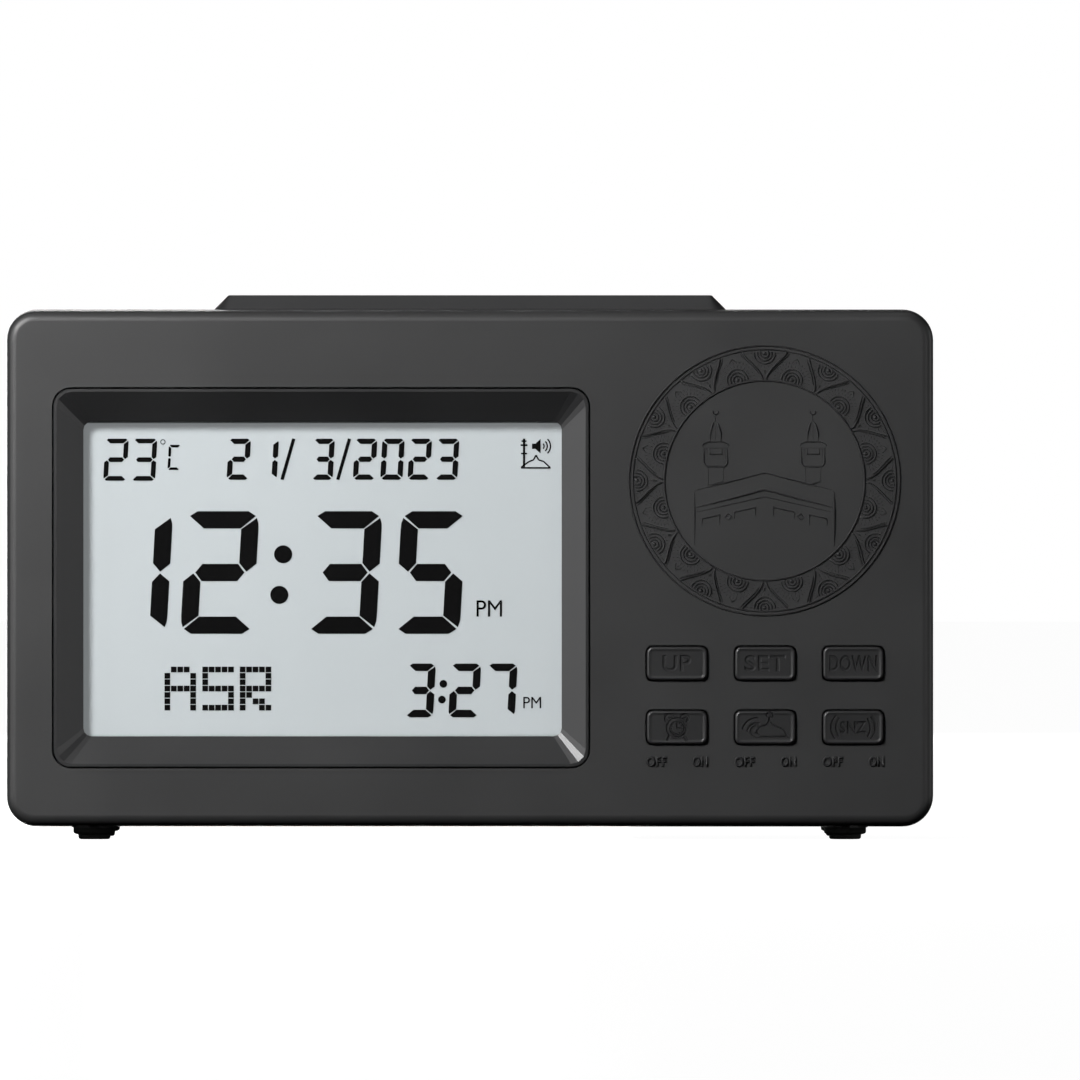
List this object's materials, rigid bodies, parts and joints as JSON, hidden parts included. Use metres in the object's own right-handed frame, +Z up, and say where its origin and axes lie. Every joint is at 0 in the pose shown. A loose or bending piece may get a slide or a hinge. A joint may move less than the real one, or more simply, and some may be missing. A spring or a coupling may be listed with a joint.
{
  "type": "digital prayer alarm clock",
  "caption": "Black table alarm clock with a framed numeric display, a round face ornament, small push keys, a top snooze bar, a rear speaker grille and a battery door.",
  "frame": {"origin": "on the table under the middle of the clock's width and depth, between the feet", "axes": "+X to the right of the display, -Y out of the display, +Z up"},
  "size_m": [0.15, 0.05, 0.088],
  "materials": {
    "case_black": "satin black moulded plastic",
    "bezel_black": "satin black moulded plastic",
    "key_black": "satin black moulded plastic",
    "bar_black": "satin black moulded plastic",
    "ornament_black": "satin black moulded relief",
    "window_clear": "clear acrylic",
    "lcd_glass": "clear thin glass",
    "polariser": "grey film",
    "display_grey": "pale grey reflective film",
    "guide_white": "milky clear plastic",
    "holder_white": "white moulded plastic",
    "lamp_white": "white lamp body",
    "rubber_black": "black rubber",
    "zebra_grey": "grey elastomer strip",
    "board_green": "solder-masked board",
    "chip_black": "black potting and packages",
    "passive_tan": "ceramic chips",
    "tin_metal": "tinned steel",
    "socket_white": "white nylon",
    "lead_grey": "flat grey cable",
    "lead_red": "red and black flat twin lead",
    "screw_steel": "zinc-plated screws",
    "switch_black": "black switch housing",
    "contact_metal": "nickel-plated spring steel",
    "cell_wrap": "plain dark wrap with steel ends",
    "cone_paper": "black paper cone",
    "basket_steel": "pressed steel",
    "magnet_grey": "ferrite",
    "gasket_foam": "foam ring"
  },
  "bodies": {
    "root": {"amplifier_and_memory": "chip_black", "backlight_guide": "guide_white", "backlight_leds": "lamp_white", "battery_cells": "cell_wrap", "battery_lead": "lead_red", "battery_leaf_springs": "contact_metal", "battery_plates": "contact_metal", "board_passives": "passive_tan", "board_screws": "screw_steel", "capacitors": "chip_black", "case_screws": "screw_steel", "clock_chip": "chip_black", "clock_crystal": "tin_metal", "display_bezel": "bezel_black", "display_window": "window_clear", "face_ornament": "ornament_black", "front_case": "case_black", "key_board": "board_green", "key_ribbon": "lead_grey", "key_switches": "switch_black", "lcd_front_polariser": "polariser", "lcd_glass_front": "lcd_glass", "lcd_glass_rear": "lcd_glass", "lcd_holder": "holder_white", "lcd_rear_polariser": "display_grey", "main_board": "board_green", "rear_case": "case_black", "rubber_feet": "rubber_black", "snooze_board": "board_green", "snooze_lead": "lead_grey", "snooze_screws": "screw_steel", "snooze_switches": "switch_black", "speaker_basket": "basket_steel", "speaker_cone": "cone_paper", "speaker_dust_cap": "cone_paper", "speaker_gasket": "gasket_foam", "speaker_lead": "lead_red", "speaker_magnet": "magnet_grey", "speaker_screws": "screw_steel", "temperature_sensor": "chip_black", "wire_sockets": "socket_white", "zebra_strips": "zebra_grey"},
    "snooze_bar": {"snooze_bar": "bar_black", "snooze_plungers": "switch_black"},
    "battery_door": {"battery_door": "case_black"},
    "key_up": {"key_up": "key_black", "key_up_plunger": "switch_black"},
    "key_set": {"key_set": "key_black", "key_set_plunger": "switch_black"},
    "key_down": {"key_down": "key_black", "key_down_plunger": "switch_black"},
    "key_alarm": {"key_alarm": "key_black", "key_alarm_plunger": "switch_black"},
    "key_azan": {"key_azan": "key_black", "key_azan_plunger": "switch_black"},
    "key_snooze": {"key_snooze": "key_black", "key_snooze_plunger": "switch_black"}
  },
  "joints": [
    {"name": "key_up_press", "type": "slide", "parent": "root", "child": "key_up", "axis": [0, 1, 0], "range_m": [0, 0.0006], "stiffness_N_per_m": 350, "springref_m": -0.001},
    {"name": "key_set_press", "type": "slide", "parent": "root", "child": "key_set", "axis": [0, 1, 0], "range_m": [0, 0.0006], "stiffness_N_per_m": 350, "springref_m": -0.001},
    {"name": "key_down_press", "type": "slide", "parent": "root", "child": "key_down", "axis": [0, 1, 0], "range_m": [0, 0.0006], "stiffness_N_per_m": 350, "springref_m": -0.001},
    {"name": "key_alarm_press", "type": "slide", "parent": "root", "child": "key_alarm", "axis": [0, 1, 0], "range_m": [0, 0.0006], "stiffness_N_per_m": 350, "springref_m": -0.001},
    {"name": "key_azan_press", "type": "slide", "parent": "root", "child": "key_azan", "axis": [0, 1, 0], "range_m": [0, 0.0006], "stiffness_N_per_m": 350, "springref_m": -0.001},
    {"name": "key_snooze_press", "type": "slide", "parent": "root", "child": "key_snooze", "axis": [0, 1, 0], "range_m": [0, 0.0006], "stiffness_N_per_m": 350, "springref_m": -0.001},
    {"name": "snooze_press", "type": "slide", "parent": "root", "child": "snooze_bar", "axis": [0, 0, -1], "range_m": [0, 0.0012], "stiffness_N_per_m": 350, "springref_m": -0.001},
    {"name": "battery_door_hinge", "type": "hinge", "parent": "root", "child": "battery_door", "pos_m": [-0.024, 0.0241, 0.0206], "axis": [-1, 0, 0], "range_deg": [0, 80]}
  ]
}
